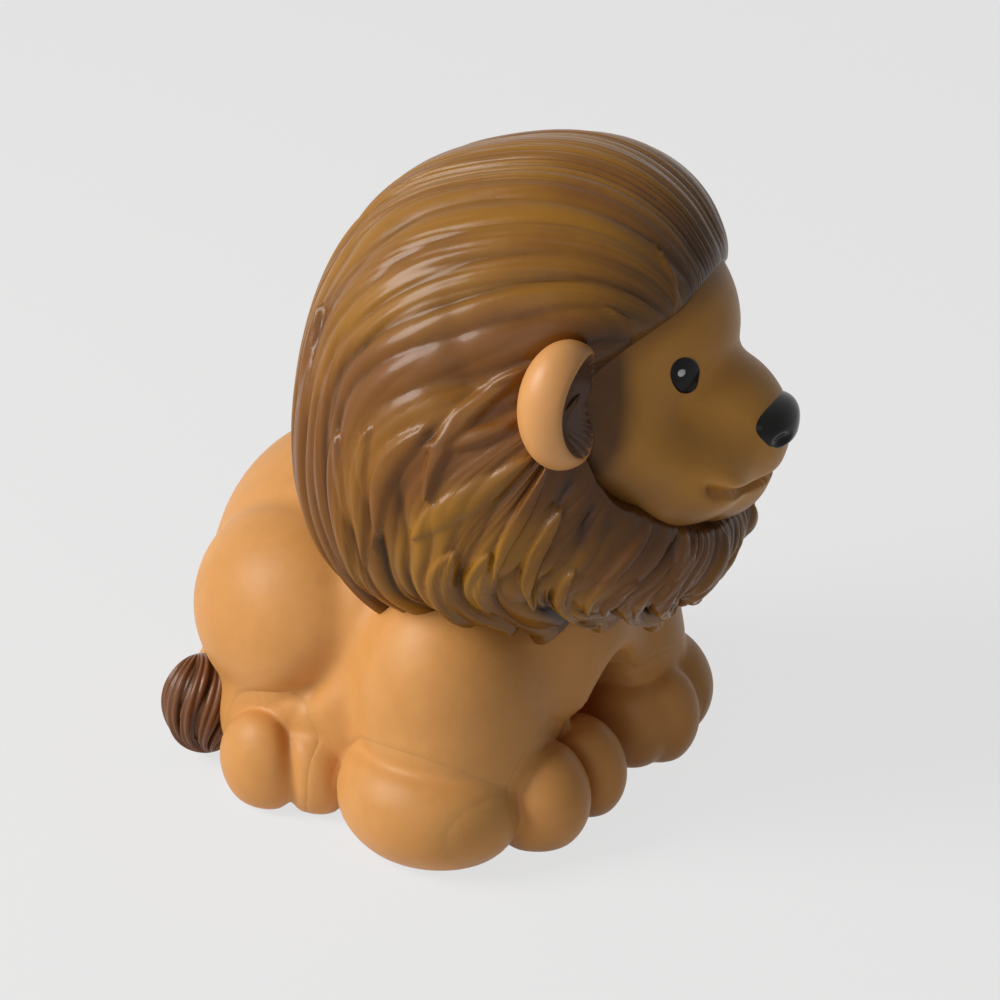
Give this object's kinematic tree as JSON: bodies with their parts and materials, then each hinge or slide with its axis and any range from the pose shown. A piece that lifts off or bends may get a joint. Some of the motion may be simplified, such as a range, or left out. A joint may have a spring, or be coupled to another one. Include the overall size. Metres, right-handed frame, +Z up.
{
  "type": "toy wild animal figure",
  "caption": "Chunky seated toy lion in soft vinyl, with a grooved brown mane round a turned, smiling head, wide paws, a tail tuft and a flat sole that it stands on.",
  "frame": {"origin": "middle of the whole figure's footprint on the ground, at the height of the flat sole", "axes": "+Z up, the body and forepaws point along -Y, and the head is turned about the vertical by 20.5 degrees from -Y towards +X"},
  "size_m": [0.0496, 0.0594, 0.0651],
  "materials": {
    "tan_vinyl": "satin warm tan soft vinyl, faintly mottled",
    "face_vinyl": "satin warm tan soft vinyl, slightly deeper than the body",
    "plug_vinyl": "plain tan vinyl plug",
    "mane_brown": "semi-gloss brown sprayed paint on vinyl, thinner on the crests",
    "tuft_brown": "glossy reddish brown paint on vinyl",
    "gloss_black": "glossy black paint",
    "eye_black": "glossy black pad print",
    "dot_white": "pale grey-white printed dot"
  },
  "bodies": {
    "root": {"body_shell": "tan_vinyl", "base_plug": "plug_vinyl", "tail_tuft": "tuft_brown", "head_shell": "face_vinyl", "mane": "mane_brown", "nose_pad": "gloss_black", "eye_right": "eye_black", "eye_left": "eye_black", "eye_glint_right": "dot_white", "eye_glint_left": "dot_white"}
  },
  "joints": []
}
